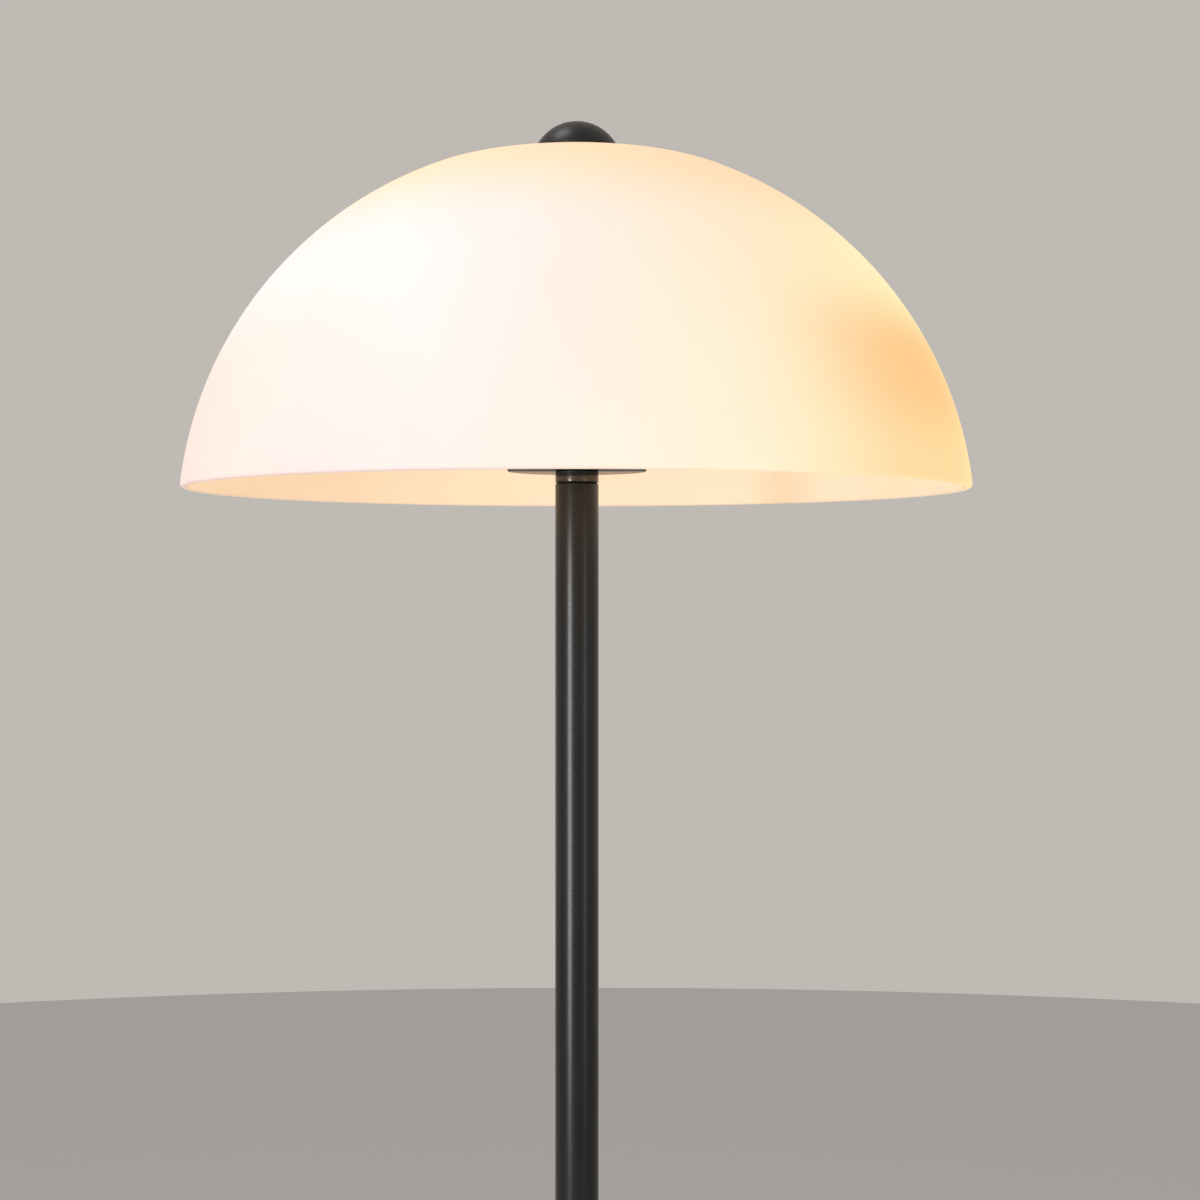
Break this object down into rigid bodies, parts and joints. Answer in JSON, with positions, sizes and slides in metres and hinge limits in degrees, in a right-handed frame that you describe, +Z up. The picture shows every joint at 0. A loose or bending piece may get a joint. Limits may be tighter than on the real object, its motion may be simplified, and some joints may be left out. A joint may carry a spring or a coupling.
{
  "type": "mushroom floor lamp",
  "caption": "Floor lamp with a wide opal glass dome shade, open below, on a slim straight black pole with a round weighted base and a half-ball finial on the crown.",
  "frame": {"origin": "centre of the underside of the base, on the floor", "axes": "+Z up along the pole, -Y towards the viewer of the front, +Y towards the mains inlet at the back of the base"},
  "size_m": [0.4506, 0.4506, 1.5007],
  "materials": {
    "black_powder_coat": "satin, fine powder texture",
    "black_turned_metal": "semi-gloss black over turned metal",
    "black_nylon": "moulded, matt",
    "opal_glass": "polished white opal, lit from inside",
    "cast_iron": "as cast, primed grey",
    "zinc_plated_steel": "zinc plated",
    "white_painted_steel": "white paint",
    "grey_felt": "pressed felt",
    "clear_silicone": "translucent silicone",
    "brass": "bare brass",
    "nickel_plated_brass": "nickel plated, thin shell",
    "frosted_bulb_glass": "frosted, lit",
    "black_cap_glass": "black glass with a soldered tip",
    "white_plastic": "moulded thermoplastic",
    "white_ceramic": "fired insulator",
    "grey_lead_sheath": "soft sheath"
  },
  "bodies": {
    "stand": {"base_felt": "grey_felt", "bottom_plate": "zinc_plated_steel", "bottom_plate_screws": "zinc_plated_steel", "base_weight": "cast_iron", "base_cover": "black_powder_coat", "cord_bush": "black_nylon", "clamp_washer": "zinc_plated_steel", "clamp_nut": "zinc_plated_steel", "base_stud": "zinc_plated_steel", "terminal_block": "white_plastic", "terminal_screws": "brass", "lower_pole_tube": "black_powder_coat", "middle_pole_tube": "black_powder_coat", "upper_pole_tube": "black_powder_coat", "tube_inserts": "zinc_plated_steel", "lower_pole_joiner": "zinc_plated_steel", "upper_pole_joiner": "zinc_plated_steel", "neck_collar": "black_turned_metal", "disc_spacer": "black_nylon", "carrier_disc": "black_powder_coat", "disc_nut": "zinc_plated_steel", "central_rod": "zinc_plated_steel", "holder_nipples": "zinc_plated_steel", "main_lead": "grey_lead_sheath", "lead_splice": "grey_lead_sheath", "holder_leads": "grey_lead_sheath", "support_nut": "zinc_plated_steel", "shade_support": "white_painted_steel", "lower_silicone_washer": "clear_silicone", "front_holder_cup": "white_plastic", "front_holder_skirt": "white_plastic", "front_holder_core": "white_ceramic", "front_holder_shell": "brass", "front_holder_contact": "brass", "right_holder_cup": "white_plastic", "right_holder_skirt": "white_plastic", "right_holder_core": "white_ceramic", "right_holder_shell": "brass", "right_holder_contact": "brass", "left_holder_cup": "white_plastic", "left_holder_skirt": "white_plastic", "left_holder_core": "white_ceramic", "left_holder_shell": "brass", "left_holder_contact": "brass"},
    "shade": {"glass_shade": "opal_glass", "shade_bush": "clear_silicone", "upper_silicone_washer": "clear_silicone"},
    "finial_washer": {"finial_washer": "zinc_plated_steel"},
    "finial": {"finial": "black_powder_coat", "finial_insert": "brass"},
    "front_bulb_end": {"front_bulb_contact": "black_cap_glass"},
    "front_bulb": {"front_bulb_glass": "frosted_bulb_glass", "front_bulb_cap": "nickel_plated_brass"},
    "right_bulb_end": {"right_bulb_contact": "black_cap_glass"},
    "right_bulb": {"right_bulb_glass": "frosted_bulb_glass", "right_bulb_cap": "nickel_plated_brass"},
    "left_bulb_end": {"left_bulb_contact": "black_cap_glass"},
    "left_bulb": {"left_bulb_glass": "frosted_bulb_glass", "left_bulb_cap": "nickel_plated_brass"}
  },
  "joints": [
    {"name": "shade_lift", "type": "slide", "parent": "stand", "child": "shade", "axis": [0, 0, 1], "range_m": [0, 0.215]},
    {"name": "finial_lift", "type": "slide", "parent": "shade", "child": "finial_washer", "axis": [0, 0, 1], "range_m": [0, 0.009]},
    {"name": "finial_turn", "type": "hinge", "parent": "finial_washer", "child": "finial", "pos_m": [0, 0, 1.485], "axis": [0, 0, 1], "range_deg": [0, 3240]},
    {"name": "front_bulb_lift", "type": "slide", "parent": "stand", "child": "front_bulb_end", "axis": [0, 0, 1], "range_m": [0, 0.01128]},
    {"name": "front_bulb_turn", "type": "hinge", "parent": "front_bulb_end", "child": "front_bulb", "pos_m": [0, -0.025, 1.35], "axis": [0, 0, 1], "range_deg": [0, 1440]},
    {"name": "right_bulb_lift", "type": "slide", "parent": "stand", "child": "right_bulb_end", "axis": [0, 0, 1], "range_m": [0, 0.01128]},
    {"name": "right_bulb_turn", "type": "hinge", "parent": "right_bulb_end", "child": "right_bulb", "pos_m": [0.02165, 0.0125, 1.35], "axis": [0, 0, 1], "range_deg": [0, 1440]},
    {"name": "left_bulb_lift", "type": "slide", "parent": "stand", "child": "left_bulb_end", "axis": [0, 0, 1], "range_m": [0, 0.01128]},
    {"name": "left_bulb_turn", "type": "hinge", "parent": "left_bulb_end", "child": "left_bulb", "pos_m": [-0.02165, 0.0125, 1.35], "axis": [0, 0, 1], "range_deg": [0, 1440]}
  ],
  "couplings": [
    {"joint": "finial_lift", "follows": "finial_turn", "m_per_rad": 0.000159},
    {"joint": "front_bulb_lift", "follows": "front_bulb_turn", "m_per_rad": 0.0004488},
    {"joint": "right_bulb_lift", "follows": "right_bulb_turn", "m_per_rad": 0.0004488},
    {"joint": "left_bulb_lift", "follows": "left_bulb_turn", "m_per_rad": 0.0004488}
  ]
}
